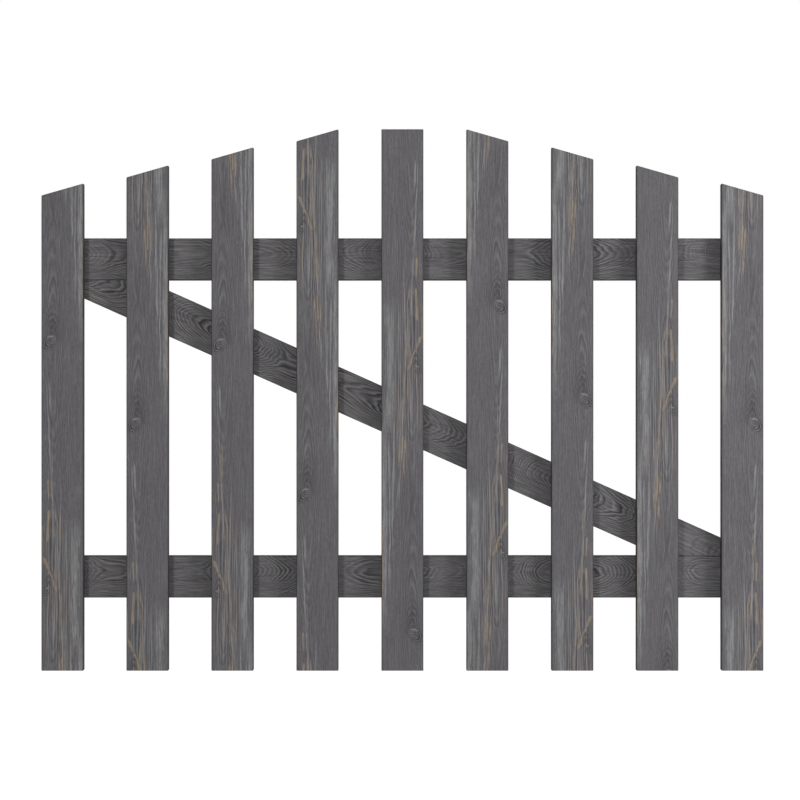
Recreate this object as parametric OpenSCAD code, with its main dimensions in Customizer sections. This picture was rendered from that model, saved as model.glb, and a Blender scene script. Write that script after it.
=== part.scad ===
// Arched picket garden gate: pickets screwed to two rails and a diagonal brace, hung on
// two strap hinges and their post hooks, and held shut by a slide bolt.
//
// Millimetres. +X runs to the hinge post, -Y is the picket side and +Z is up. The origin
// is the centre of the lower hook plate's mounting face, on the side of the hinge post.

/* [Leaf] */
// Width of the leaf over its outer pickets
leaf_w = 1200; // [900:10:1500]
// Height of the leaf at its middle picket
leaf_h = 900; // [750:10:1300]
// Number of pickets, always odd
picket_count = 9; // [7:2:11]
// Gap between the leaf's hinge edge and the post
leaf_gap = 4; // [2:0.5:5]
// Radius of the eased long edges of every board
arris_r = 1.5; // [0.5:0.5:3]

/* [Pickets] */
// Width of a picket
picket_w = 70; // [55:1:85]
// Thickness of a picket
picket_t = 20; // [16:1:28]
// How much shorter each side picket is than its inner neighbour
picket_step = 30; // [0:5:50]
// Fall of the sloping top cut from one edge of a side picket to the other
picket_fall = 20; // [0:1:40]

/* [Rails and brace] */
// Width of a rail, measured up the gate
rail_w = 70; // [58:1:90]
// Thickness of the rails and the brace
rail_t = 28; // [22:1:40]
// Height of the bottom rail's lower edge above the foot of the pickets
foot_h = 120; // [60:5:200]
// Drop from the top of the outer pickets to the top rail's upper edge
head_h = 90; // [50:5:150]
// Width of the brace
brace_w = 70; // [58:1:90]

/* [Board screws] */
// Diameter of a board screw
screw_d = 4; // [3:0.5:5]
// Diameter of its countersunk head
screw_head_d = 8; // [7:0.5:9]
// How far it bites into the picket
screw_bite = 12; // [8:1:14]
// Distance from a picket's edge to the screws
screw_from_picket_edge = 18; // [14:1:22]
// Distance from a rail's edge to the screws
screw_from_rail_edge = 12; // [10:1:16]
// Clearance all round a screw in its hole
screw_gap = 0.05; // [0.02:0.01:0.2]

/* [Strap hinges] */
// Length of a strap from the hinge axis to its tip
strap_l = 300; // [200:10:400]
// Width of a strap
strap_w = 35; // [25:1:45]
// Thickness of a strap
strap_t = 4; // [3:0.5:6]
// Diameter of the hook's pin
pin_d = 13; // [10:0.5:16]
// Clearance all round the pin in the strap's eye
pin_gap = 0.08; // [0.02:0.01:0.1]
// Width of the slit where the rolled eye meets the strap
eye_slit = 0.8; // [0.5:0.1:1.5]
// Number of screws in a strap
strap_screw_count = 5; // [3:1:6]
// Diameter of a strap screw
strap_screw_d = 5; // [4:0.5:6]
// Diameter of its countersunk head
strap_head_d = 10; // [8:0.5:12]
// Distance from the hinge axis to the first strap screw
strap_first_screw = 40; // [30:5:60]
// Wood left in front of a strap screw's point
strap_screw_cover = 2; // [1:0.5:5]

/* [Post hooks] */
// Width of a hook plate, front to back
plate_w = 40; // [35:1:50]
// Height of a hook plate
plate_h = 100; // [90:5:140]
// Thickness of a hook plate
plate_t = 5; // [4:0.5:8]
// Radius of a hook plate's corners
plate_corner_r = 5; // [2:1:8]
// Diameter of the screw holes in a hook plate
plate_hole_d = 6.5; // [5:0.5:8]
// Distance from a hook plate's sides to the centres of its holes
plate_hole_side = 9; // [7:0.5:12]
// Distance from a hook plate's ends to the centres of its holes
plate_hole_end = 12; // [8:1:15]
// Thickness of the lug that carries the pin
lug_t = 12; // [8:1:16]
// Space between the eye and the hook plate
eye_gap = 1.4; // [1:0.1:3]
// Space between the leaf's back and the hook plate's front edge
swing_gap = 1.1; // [1:0.1:3]
// Thickness of the washer between the lug and the eye
washer_t = 1.5; // [1:0.5:3]
// End play between the washer and the eye
end_play = 0.2; // [0.1:0.1:0.5]
// How far the pin stands past the eye
pin_stand = 4; // [2:1:8]

/* [Slide bolt] */
// Diameter of the bolt rod
rod_d = 10; // [8:0.5:12]
// How far the bolt slides
bolt_throw = 32; // [20:1:40]
// How far the drawn bolt stays back from the leaf's latch edge
bolt_setback = 2; // [1:0.5:5]
// How far its nose then stands past the back plate
bolt_nose = 1; // [0:0.5:3]
// Clearance all round the rod in its guides
rod_gap = 0.3; // [0.2:0.1:0.5]
// Width of the bolt's back plate
bolt_plate_w = 36; // [34:1:45]
// Thickness of the bolt's back plate
bolt_plate_t = 2; // [1.5:0.5:3]
// Radius of the back plate's corners
bolt_plate_corner_r = 4; // [2:0.5:6]
// Distance from the back plate's sides to the rims of its screws
bolt_screw_side = 1.5; // [1:0.25:3]
// Width of a guide along the rod
guide_w = 12; // [8:1:16]
// Thickness of a guide's sheet
guide_t = 2; // [1.5:0.5:3]
// Length of back plate outside each guide
bolt_plate_margin = 14; // [12:1:20]
// Diameter of the knob's neck
knob_neck_d = 8; // [6:0.5:8]
// Diameter of the stud that fixes the knob in the rod
knob_stud_d = 5; // [4:0.5:6]
// Depth of the flat on the rod that the neck sits on
knob_seat = 1; // [0.5:0.25:2]
// Diameter of the knob's ball
knob_ball_d = 16; // [12:1:20]
// Height of the knob above the rod's axis
knob_h = 26; // [22:1:32]
// Diameter of the bolt plate's screws
bolt_screw_d = 3.5; // [3:0.5:4]
// Diameter of their countersunk heads
bolt_head_d = 7; // [6:0.5:8]
// Length of the bolt plate's screws
bolt_screw_l = 18; // [14:1:20]
// Diameter of the guides' rivets
rivet_d = 3; // [2.5:0.5:4]

/* [Hidden] */
$fn = 48;

board_grey = [0.39, 0.38, 0.39];
rail_grey = [0.34, 0.33, 0.34];
steel_black = [0.12, 0.12, 0.13];
screw_steel = [0.62, 0.62, 0.60];
nylon_white = [0.85, 0.84, 0.80];

// Cuts start this far outside a face, so that they break it cleanly
over = 1;
// Straight facets in a quarter round
arc_steps = 4;

// Leaf: x from the latch edge, y from the rails' back face (front is negative), z from the foot
middle = (picket_count + 1) / 2;
pitch = (leaf_w - picket_w) / (picket_count - 1);
outer_h = leaf_h - (middle - 2) * picket_step;
top_rail_z = outer_h - head_h - rail_w;
brace_top = top_rail_z;
brace_foot = foot_h + rail_w;
brace_rise = brace_top - brace_foot;
// The brace's lower edge starts at the latch corner and its upper edge ends at the hinge corner
brace_angle = atan(brace_rise / leaf_w) + asin(brace_w / norm([leaf_w, brace_rise]));
top_rail_mid = top_rail_z + rail_w / 2;
bottom_rail_mid = foot_h + rail_w / 2;

// Hinge
eye_bore_r = pin_d / 2 + pin_gap;
eye_r = eye_bore_r + strap_t;
axis_to_post = plate_t + eye_gap + eye_r;
axis_x = leaf_w + leaf_gap - axis_to_post;
axis_y = eye_r;
strap_screw_pitch = (strap_l - strap_first_screw - strap_w / 2) / (strap_screw_count - 1);
// The lug is narrower than the eye, so the leaf's back passes it as it swings
lug_r = eye_r - swing_gap;
lug_top = -strap_w / 2 - end_play - washer_t;

// Where the leaf hangs in the row's frame
leaf_origin = [-leaf_gap - leaf_w, -plate_w / 2 - swing_gap, -bottom_rail_mid];
hinge_spacing = top_rail_mid - bottom_rail_mid;
pin_y = axis_y + leaf_origin[1];

// Slide bolt, in leaf terms
guide_r = rod_d / 2 + rod_gap;
rod_y = bolt_plate_t + guide_r;
guide_spacing = bolt_throw + knob_neck_d + 2 * rod_gap + guide_w;
bolt_plate_l = guide_spacing + guide_w + 2 * bolt_plate_margin;
bolt_plate_x = bolt_setback + bolt_nose;
guide_x = bolt_plate_x + bolt_plate_margin;
// Drawn back, the neck all but touches the inner guide
knob_x = guide_x + guide_spacing - rod_gap - knob_neck_d / 2;
rod_l = bolt_plate_l + bolt_throw + rod_gap;
guide_foot = (bolt_plate_w - 2 * (guide_r + guide_t)) / 2;
rivet_z = guide_r + guide_t + guide_foot / 2;
bolt_screw_z = bolt_plate_w / 2 - bolt_head_d / 2 - bolt_screw_side;

// Lead-in on the ends of pins and of the rod
end_chamfer = 1.5;
// Height of the straight rim of a countersunk head
head_rim = 0.4;
// Radius of a driver recess, and of its inner lobes, against the screw's head
recess_share = 0.5;
lobe_share = 0.7;
// Radius and height of a rivet's head against its shank's diameter
rivet_head_share = 0.9;
rivet_dome_share = 0.5;

// ---- Shared shapes ---------------------------------------------------------------

// Points of a w by t rectangle from the origin, with its corners rounded to r
function round_rect(w, t, r) = [
    for (c = [[w - r, t - r, 0], [r, t - r, 90], [r, r, 180], [w - r, r, 270]])
        for (s = [0 : arc_steps])
            let (a = c[2] + 90 * s / arc_steps) [c[0] + r * cos(a), c[1] + r * sin(a)]
];

// Points of a six-lobed driver recess of radius r
function recess(r) = [
    for (s = [0 : 11])
        let (q = s % 2 == 0 ? r : lobe_share * r) [q * cos(30 * s), q * sin(30 * s)]
];

// A board of width w and thickness t, running l along +X with its back face on y = 0
module bar(l, w, t) {
    translate([0, -t, 0])
        rotate([90, 0, 90])
            linear_extrude(l)
                polygon(round_rect(t, w, arris_r));
}

// A countersunk screw with its head's face on z = 0 and its point at z = l
module screw(d, l, head_d) {
    difference() {
        rotate_extrude()
            polygon([
                [0, 0], [head_d / 2, 0], [head_d / 2, head_rim],
                [d / 2, head_rim + (head_d - d) / 2], [d / 2, l - d], [0, l]
            ]);
        translate([0, 0, -over])
            linear_extrude(over + d / 2)
                polygon(recess(recess_share * head_d / 2));
    }
}

// The hole that a screw of the same sizes fits, open towards -Z
module screw_hole(d, l, head_d) {
    shank_r = d / 2 + screw_gap;
    rim_r = head_d / 2 + screw_gap;
    rotate_extrude()
        polygon([
            [0, -over], [rim_r, -over], [rim_r, head_rim],
            [shank_r, head_rim + (head_d - d) / 2], [shank_r, l + screw_gap], [0, l + screw_gap]
        ]);
}

// A pin of diameter d standing on z = 0, l long, with a chamfered tip
module pin(d, l) {
    rotate_extrude()
        polygon([
            [0, 0], [d / 2, 0], [d / 2, l - end_chamfer],
            [d / 2 - end_chamfer, l], [0, l]
        ]);
}

// Puts children at each [x, z] of a list, on the plane y, with their +Z pointing to the front
module at_points(points, y = 0) {
    for (p = points)
        translate([p[0], y, p[1]])
            rotate([90, 0, 0])
                children();
}

// Carries the leaf's own terms to the row's frame
module on_leaf() {
    translate(leaf_origin) children();
}

// ---- Boards ----------------------------------------------------------------------

function picket_x(i) = (i - 1) * pitch;
function picket_mid(i) = picket_x(i) + picket_w / 2;
function picket_top(i) = leaf_h - max(0, abs(i - middle) - 1) * picket_step;

// Two screws, set cornerwise, where picket i crosses a rail with its middle at z
function crossing(i, z) = let (
    dx = picket_w / 2 - screw_from_picket_edge,
    dz = rail_w / 2 - screw_from_rail_edge
) [[picket_mid(i) - dx, z + dz], [picket_mid(i) + dx, z - dz]];

// Height of the brace's middle line at x
function brace_mid(x) = brace_top - x * tan(brace_angle) + brace_w / 2 / cos(brace_angle);

// The screws through the brace into picket i: one in each pointed end, two elsewhere
function brace_crossing(i) = let (
    end_x = picket_w - screw_from_picket_edge,
    end_z = end_x * tan(brace_angle) / 2,
    dx = picket_w / 2 - screw_from_picket_edge
)
    i == 1 ? [[end_x, brace_top - end_z]] :
    i == picket_count ? [[leaf_w - end_x, brace_foot + end_z]] :
    [
        for (x = [picket_mid(i) - dx, picket_mid(i) + dx])
            if (brace_mid(x) < brace_top - screw_head_d && brace_mid(x) > brace_foot + screw_head_d)
                [x, brace_mid(x)]
    ];

function every(f) = [for (i = [1 : picket_count]) for (p = f(i)) p];

module board_screws(points) {
    at_points(points) screw(screw_d, rail_t + screw_bite, screw_head_d);
}

module board_screw_holes(points) {
    at_points(points) screw_hole(screw_d, rail_t + screw_bite, screw_head_d);
}

module picket(i) {
    side = sign(i - middle);
    own_screws = concat(
        crossing(i, top_rail_mid), crossing(i, bottom_rail_mid), brace_crossing(i)
    );
    color(board_grey)
        on_leaf()
            difference() {
                translate([picket_x(i), -rail_t - picket_t, 0])
                    linear_extrude(picket_top(i))
                        polygon(round_rect(picket_w, picket_t, arris_r));
                // The sloping cut falls away from the middle of the gate
                if (side != 0 && picket_fall > 0)
                    translate([
                        side > 0 ? picket_x(i) : picket_x(i) + picket_w,
                        -rail_t - picket_t - over, picket_top(i)
                    ])
                        rotate([0, side * atan(picket_fall / picket_w), 0])
                            translate([-2 * picket_w, 0, 0])
                                cube([4 * picket_w, picket_t + 2 * over, 2 * picket_w]);
                board_screw_holes(own_screws);
            }
}

module rail(z, screws) {
    color(rail_grey)
        on_leaf()
            difference() {
                translate([0, 0, z]) bar(leaf_w, rail_w, rail_t);
                board_screw_holes(screws);
                children();
            }
}

module brace() {
    color(rail_grey)
        on_leaf()
            difference() {
                intersection() {
                    translate([0, 0, brace_top])
                        rotate([0, brace_angle, 0])
                            translate([-2 * brace_w, 0, 0])
                                bar(norm([leaf_w, brace_rise]) + 4 * brace_w, brace_w, rail_t);
                    translate([0, -rail_t - over, brace_foot])
                        cube([leaf_w, rail_t + 2 * over, brace_rise]);
                }
                board_screw_holes(every(function (i) brace_crossing(i)));
            }
}

// ---- Strap hinges ----------------------------------------------------------------

function strap_screw_points(z) = [
    for (n = [0 : strap_screw_count - 1])
        [axis_x - strap_first_screw - n * strap_screw_pitch, z]
];

// A flat bar whose end is rolled round the hinge axis into an eye
module strap(z) {
    color(steel_black)
        on_leaf()
            difference() {
                translate([axis_x, axis_y, z])
                    difference() {
                        union() {
                            translate([strap_w / 2 - strap_l, -eye_r, -strap_w / 2])
                                cube([strap_l - strap_w / 2, strap_t, strap_w]);
                            translate([strap_w / 2 - strap_l, -eye_r, 0])
                                rotate([-90, 0, 0])
                                    cylinder(d = strap_w, h = strap_t);
                            translate([0, 0, -strap_w / 2])
                                cylinder(r = eye_r, h = strap_w);
                        }
                        translate([0, 0, -strap_w / 2 - over])
                            cylinder(r = eye_bore_r, h = strap_w + 2 * over);
                        // The slit between the end of the roll and the bar
                        translate([-eye_r - over, strap_t - eye_r, -strap_w / 2 - over])
                            cube([eye_r + over, eye_slit, strap_w + 2 * over]);
                    }
                strap_screw_holes(z);
            }
}

module strap_screw_holes(z) {
    at_points(strap_screw_points(z), strap_t)
        screw_hole(strap_screw_d, rail_t + strap_t - strap_screw_cover, strap_head_d);
}

module strap_screws(z) {
    color(screw_steel)
        on_leaf()
            at_points(strap_screw_points(z), strap_t)
                screw(strap_screw_d, rail_t + strap_t - strap_screw_cover, strap_head_d);
}

// ---- Post hooks ------------------------------------------------------------------

// A hook carries its pin on a lug below the eye. The upper one is turned over, so that
// the leaf can't be lifted off.
module hook(z, over_the_eye) {
    translate([0, 0, z])
        mirror([0, 0, over_the_eye ? 1 : 0])
            children();
}

module hook_plate() {
    color(steel_black)
        difference() {
            union() {
                translate([-plate_t, -plate_w / 2, -plate_h / 2])
                    rotate([90, 0, 90])
                        linear_extrude(plate_t)
                            polygon(round_rect(plate_w, plate_h, plate_corner_r));
                translate([-axis_to_post, pin_y, lug_top - lug_t]) {
                    cylinder(r = lug_r, h = lug_t);
                    translate([0, -lug_r, 0])
                        cube([axis_to_post - plate_t / 2, 2 * lug_r, lug_t]);
                }
            }
            translate([-axis_to_post, pin_y, lug_top - lug_t - over])
                cylinder(d = pin_d, h = lug_t + 2 * over);
            for (y = [-1, 1], z = [-1, 1])
                translate([
                    -plate_t - over, y * (plate_w / 2 - plate_hole_side),
                    z * (plate_h / 2 - plate_hole_end)
                ])
                    rotate([0, 90, 0])
                        cylinder(d = plate_hole_d, h = plate_t + 2 * over);
        }
}

module hook_pin() {
    color(steel_black)
        translate([-axis_to_post, pin_y, lug_top - lug_t])
            pin(pin_d, lug_t + washer_t + end_play + strap_w + pin_stand);
}

module hook_washer() {
    color(nylon_white)
        translate([-axis_to_post, pin_y, lug_top])
            difference() {
                cylinder(r = lug_r, h = washer_t);
                translate([0, 0, -over])
                    cylinder(r = eye_bore_r, h = washer_t + 2 * over);
            }
}

// ---- Slide bolt ------------------------------------------------------------------

guide_starts = [guide_x, guide_x + guide_spacing];
rivet_points = [
    for (x = guide_starts, s = [-1, 1]) [x + guide_w / 2, top_rail_mid + s * rivet_z]
];
bolt_screw_points = [
    for (x = [bolt_plate_margin / 2, bolt_plate_l - bolt_plate_margin / 2], s = [-1, 1])
        [bolt_plate_x + x, top_rail_mid + s * bolt_screw_z]
];

module bolt_screw_holes() {
    at_points(bolt_screw_points, bolt_plate_t)
        screw_hole(bolt_screw_d, bolt_screw_l, bolt_head_d);
}

module bolt_screws() {
    color(screw_steel)
        on_leaf()
            at_points(bolt_screw_points, bolt_plate_t)
                screw(bolt_screw_d, bolt_screw_l, bolt_head_d);
}

module bolt_plate() {
    color(steel_black)
        on_leaf()
            difference() {
                translate([bolt_plate_x, bolt_plate_t, top_rail_mid - bolt_plate_w / 2])
                    rotate([90, 0, 0])
                        linear_extrude(bolt_plate_t)
                            polygon(round_rect(bolt_plate_l, bolt_plate_w, bolt_plate_corner_r));
                bolt_screw_holes();
                at_points(rivet_points, bolt_plate_t + over)
                    cylinder(d = rivet_d, h = bolt_plate_t + 2 * over);
            }
}

// End outline of a guide: an arch over the rod with a foot on each side
module guide_outline() {
    difference() {
        union() {
            translate([0, guide_r]) circle(r = guide_r + guide_t);
            translate([-guide_r - guide_t, 0]) square([2 * (guide_r + guide_t), guide_r]);
            translate([-bolt_plate_w / 2, 0]) square([bolt_plate_w, guide_t]);
        }
        // The rod's way through, and what the outer circle leaves under the feet
        translate([0, guide_r]) circle(r = guide_r);
        translate([-guide_r, -over]) square([2 * guide_r, guide_r + over]);
        translate([-guide_r - guide_t, -guide_t - over])
            square([2 * (guide_r + guide_t), guide_t + over]);
    }
}

module bolt_guides() {
    color(steel_black)
        on_leaf()
            difference() {
                for (x = guide_starts)
                    translate([x, bolt_plate_t, top_rail_mid])
                        rotate([90, 0, 90])
                            linear_extrude(guide_w)
                                mirror([1, -1])
                                    guide_outline();
                at_points(rivet_points, bolt_plate_t + guide_t + over)
                    cylinder(d = rivet_d, h = guide_t + 2 * over);
            }
}

module bolt_rivets() {
    color(screw_steel)
        on_leaf()
            at_points(rivet_points, bolt_plate_t + guide_t)
                rotate_extrude()
                    polygon(concat(
                        [
                            for (s = [0 : arc_steps])
                                let (a = 90 * s / arc_steps)
                                    rivet_d * [rivet_head_share * sin(a), -rivet_dome_share * cos(a)]
                        ],
                        [
                            [rivet_d / 2, 0], [rivet_d / 2, guide_t + bolt_plate_t],
                            [0, guide_t + bolt_plate_t]
                        ]
                    ));
}

module bolt_rod() {
    color(steel_black)
        on_leaf()
            difference() {
                translate([bolt_setback, rod_y, top_rail_mid])
                    rotate([0, 90, 0])
                        rotate_extrude()
                            polygon([
                                [0, 0], [rod_d / 2 - end_chamfer, 0], [rod_d / 2, end_chamfer],
                                [rod_d / 2, rod_l - end_chamfer],
                                [rod_d / 2 - end_chamfer, rod_l], [0, rod_l]
                            ]);
                on_rod_at_knob() {
                    cylinder(d = knob_stud_d, h = rod_d);
                    translate([0, 0, rod_d / 2 - knob_seat])
                        cylinder(d = knob_neck_d, h = rod_d);
                }
            }
}

module bolt_knob() {
    color(steel_black)
        on_leaf()
            on_rod_at_knob() {
                cylinder(d = knob_stud_d, h = rod_d / 2);
                translate([0, 0, rod_d / 2 - knob_seat])
                    cylinder(d = knob_neck_d, h = knob_h - rod_d / 2 + knob_seat - knob_ball_d / 2);
                translate([0, 0, knob_h - knob_ball_d / 2])
                    sphere(d = knob_ball_d);
            }
}

// Puts children on the rod's axis below the knob, with their +Z pointing out to the back
module on_rod_at_knob() {
    translate([knob_x, rod_y, top_rail_mid])
        rotate([-90, 0, 0])
            children();
}

// ---- The nodes -------------------------------------------------------------------

for (i = [1 : picket_count])
    picket(i);

rail(top_rail_z, every(function (i) crossing(i, top_rail_mid))) {  // top_rail
        strap_screw_holes(top_rail_mid);
        bolt_screw_holes();
    }
rail(foot_h, every(function (i) crossing(i, bottom_rail_mid)))  // bottom_rail
        strap_screw_holes(bottom_rail_mid);
brace();
color(screw_steel) on_leaf()  // top_rail_screws
        board_screws(every(function (i) crossing(i, top_rail_mid)));
color(screw_steel) on_leaf()  // bottom_rail_screws
        board_screws(every(function (i) crossing(i, bottom_rail_mid)));
color(screw_steel) on_leaf() board_screws(every(function (i) brace_crossing(i)));  // brace_screws

strap(top_rail_mid);  // upper_strap
strap(bottom_rail_mid);  // lower_strap
strap_screws(top_rail_mid);  // upper_strap_screws
strap_screws(bottom_rail_mid);  // lower_strap_screws

hook(hinge_spacing, true) hook_plate();  // upper_hook_plate
hook(hinge_spacing, true) hook_pin();  // upper_hook_pin
hook(hinge_spacing, true) hook_washer();  // upper_hook_washer
hook(0, false) hook_plate();  // lower_hook_plate
hook(0, false) hook_pin();  // lower_hook_pin
hook(0, false) hook_washer();  // lower_hook_washer

bolt_plate();
bolt_guides();
bolt_rivets();
bolt_screws();
bolt_rod();
bolt_knob();
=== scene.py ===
import math
import bmesh
import bpy
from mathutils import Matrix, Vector


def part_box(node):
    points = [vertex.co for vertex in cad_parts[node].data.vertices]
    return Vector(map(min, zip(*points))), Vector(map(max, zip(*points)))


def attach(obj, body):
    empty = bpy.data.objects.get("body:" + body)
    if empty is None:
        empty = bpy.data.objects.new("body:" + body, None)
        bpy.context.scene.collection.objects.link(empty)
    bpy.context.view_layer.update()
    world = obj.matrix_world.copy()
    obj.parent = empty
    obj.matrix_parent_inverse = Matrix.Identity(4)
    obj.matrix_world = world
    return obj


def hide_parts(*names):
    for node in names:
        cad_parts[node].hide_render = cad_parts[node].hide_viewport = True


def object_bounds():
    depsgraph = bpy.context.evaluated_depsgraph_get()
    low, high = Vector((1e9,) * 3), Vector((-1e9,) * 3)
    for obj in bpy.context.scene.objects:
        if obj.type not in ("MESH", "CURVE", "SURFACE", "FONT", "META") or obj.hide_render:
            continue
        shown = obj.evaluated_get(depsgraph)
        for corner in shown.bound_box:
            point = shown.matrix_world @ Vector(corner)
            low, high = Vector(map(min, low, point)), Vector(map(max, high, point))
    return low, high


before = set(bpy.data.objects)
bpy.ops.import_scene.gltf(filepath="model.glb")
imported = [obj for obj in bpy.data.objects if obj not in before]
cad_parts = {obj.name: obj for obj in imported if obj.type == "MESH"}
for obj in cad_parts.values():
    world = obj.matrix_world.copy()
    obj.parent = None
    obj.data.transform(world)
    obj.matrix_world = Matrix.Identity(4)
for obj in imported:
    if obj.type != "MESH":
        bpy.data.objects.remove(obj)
cad_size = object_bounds()

# ---------------------------------------------------------------------------------------------
# The pickets. Nine planed spruce boards, 70 by 20 mm, stained a dark neutral grey and left out in
# the weather, with their arrises eased by a plane. Each is sawn to its own height, the outer ones
# with a top that falls outwards, and stands with its back against the two rails and the brace.
# ---------------------------------------------------------------------------------------------


def place(tree, kind, inputs=None, **settings):
    """Adds a node to a tree, sets it up, and wires or fills its inputs."""
    made = tree.nodes.new(kind)
    for name, value in settings.items():
        setattr(made, name, value)
    for name, value in (inputs or {}).items():
        if isinstance(value, Wire):
            tree.links.new(value.socket, made.inputs[name])
        else:
            made.inputs[name].default_value = value
    return made


def result(tree, kind, inputs=None, **settings):
    """What a new node puts out first."""
    return Wire(tree, place(tree, kind, inputs, **settings).outputs[0])


class Wire:
    """What a node puts out. A sum written on it becomes Math nodes."""

    def __init__(self, tree, socket):
        self.tree = tree
        self.socket = socket

    def reckon(self, operation, other=0.0, third=0.0):
        terms = {0: self, 1: other, 2: third}
        return result(self.tree, "ShaderNodeMath", terms, operation=operation)

    def __add__(self, other):
        return self.reckon("ADD", other)

    def __sub__(self, other):
        return self.reckon("SUBTRACT", other)

    def __rsub__(self, other):
        return self.reckon("MULTIPLY_ADD", -1.0, other)

    def __mul__(self, other):
        return self.reckon("MULTIPLY", other)

    def __truediv__(self, other):
        return self.reckon("DIVIDE", other)

    def __abs__(self):
        return self.reckon("ABSOLUTE")

    __radd__ = __add__
    __rmul__ = __mul__

    def least(self, other):
        return self.reckon("MINIMUM", other)

    def most(self, other):
        return self.reckon("MAXIMUM", other)

    def squared(self):
        return self.reckon("MULTIPLY", self)

    def ramp(self, low, high, start=0.0, end=1.0, smooth=True):
        """Goes from start to end as this goes from low to high, and stays there."""
        return result(
            self.tree,
            "ShaderNodeMapRange",
            {"Value": self, "From Min": low, "From Max": high, "To Min": start, "To Max": end},
            interpolation_type="SMOOTHSTEP" if smooth else "LINEAR",
        )


def vector(tree, x=0.0, y=0.0, z=0.0):
    return result(tree, "ShaderNodeCombineXYZ", {"X": x, "Y": y, "Z": z})


def parts(tree, whole):
    made = place(tree, "ShaderNodeSeparateXYZ", {0: whole})
    return [Wire(tree, output) for output in made.outputs]


def noise(tree, at, scale=1.0, detail=0.0, roughness=0.5):
    """Soft noise between 0 and 1 about 0.5."""
    return result(
        tree,
        "ShaderNodeTexNoise",
        {"Vector": at, "Scale": scale, "Detail": detail, "Roughness": roughness},
    )


def spoken(name):
    """A socket's name, with its spaces."""
    return name.replace("_", " ")


def inputs_of(tree, **starts):
    """Gives a tree its named inputs, each a first value or else a kind, and returns their wires."""
    kinds = {float: "Float", int: "Int", tuple: "Vector"}
    for name, start in starts.items():
        kind = kinds.get(type(start), start)
        made = tree.interface.new_socket(
            spoken(name), in_out="INPUT", socket_type=f"NodeSocket{kind}"
        )
        if kind != start:
            made.default_value = start
    entry = tree.nodes.new("NodeGroupInput")
    return {name: Wire(tree, entry.outputs[spoken(name)]) for name in starts}


def outputs_of(tree, kind="Float", **wires):
    """Gives a tree its named outputs, all of one kind."""
    for name in wires:
        tree.interface.new_socket(
            spoken(name), in_out="OUTPUT", socket_type=f"NodeSocket{kind}"
        )
    end = tree.nodes.new("NodeGroupOutput")
    for name, wire in wires.items():
        tree.links.new(wire.socket, end.inputs[spoken(name)])


def moved(tree, shape, x, y, z):
    """A shape with each of its points put in a new place."""
    to = vector(tree, x, y, z)
    return result(tree, "GeometryNodeSetPosition", {"Geometry": shape, "Position": to})


def facing_back(tree, shape, sunk):
    """A shape that stood along Z, turned to face the back of the gate and sunk into it."""
    return result(
        tree,
        "GeometryNodeTransform",
        {
            "Geometry": shape,
            "Translation": vector(tree, 0.0, sunk * -1.0, 0.0),
            "Rotation": (-math.pi / 2, 0.0, 0.0),
        },
    )


def copies(tree, points, shape, **turned_or_scaled):
    """A copy of a shape at each point."""
    inputs = {"Points": points, "Instance": shape, **turned_or_scaled}
    return result(tree, "GeometryNodeInstanceOnPoints", inputs)


def finished(tree, shape, material):
    """Ends a Geometry Nodes tree: copies made real, and their material put on."""
    whole = result(tree, "GeometryNodeRealizeInstances", {0: shape})
    covered = result(tree, "GeometryNodeSetMaterial", {"Geometry": whole, "Material": material})
    outputs_of(tree, "Geometry", Geometry=covered)


def grow(name, tree, sizes, start=None):
    """Runs a Geometry Nodes tree over a start mesh, and leaves the result as a plain mesh."""
    piece = bpy.data.objects.new(name, start or bpy.data.meshes.new(name))
    bpy.context.scene.collection.objects.link(piece)
    modifier = piece.modifiers.new("grow", "NODES")
    modifier.node_group = tree
    for item in tree.interface.items_tree:
        if item.item_type == "SOCKET" and item.in_out == "INPUT" and item.name in sizes:
            modifier[item.identifier] = sizes[item.name]
    graph = bpy.context.evaluated_depsgraph_get()
    plain = bpy.data.meshes.new_from_object(piece.evaluated_get(graph))
    piece.modifiers.clear()
    piece.data = plain
    plain.name = name
    return piece


BOARD_COLUMNS = 17
BOARD_LAYERS = 9
EASED_COLUMNS = 3
PLANE_STROKES = 18.0
HOLLOWING = 0.02
SHRINKAGE = 0.006
board_tree = bpy.data.node_groups.new("board", "GeometryNodeTree")
given = inputs_of(
    board_tree,
    Geometry="Geometry",
    Width=0.07,
    Thickness=0.02,
    Length=0.8,
    Rows=91,
    Arris=0.0015,
    Start_skew=0.0,
    End_skew=0.0,
    Turn=0.0,
    Corner=(0.0, 0.0, 0.0),
    Seed=0.0,
    Knot_height=0.4,
    Mirrored=0.0,
    Flame_pitch=0.14,
    Screw_seats="Object",
    Seat_radius=0.0042,
    Seat_depth=0.0024,
    Timber="Material",
)
block = result(
    board_tree,
    "GeometryNodeMeshCube",
    {
        "Size": (1.0, 1.0, 1.0),
        "Vertices X": BOARD_COLUMNS,
        "Vertices Y": BOARD_LAYERS,
        "Vertices Z": given["Rows"],
    },
)
halves = [given["Width"] * 0.5, given["Thickness"] * 0.5, given["Length"] * 0.5]
lines = [BOARD_COLUMNS, BOARD_LAYERS, given["Rows"]]
unit = parts(board_tree, result(board_tree, "GeometryNodeInputPosition"))
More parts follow.
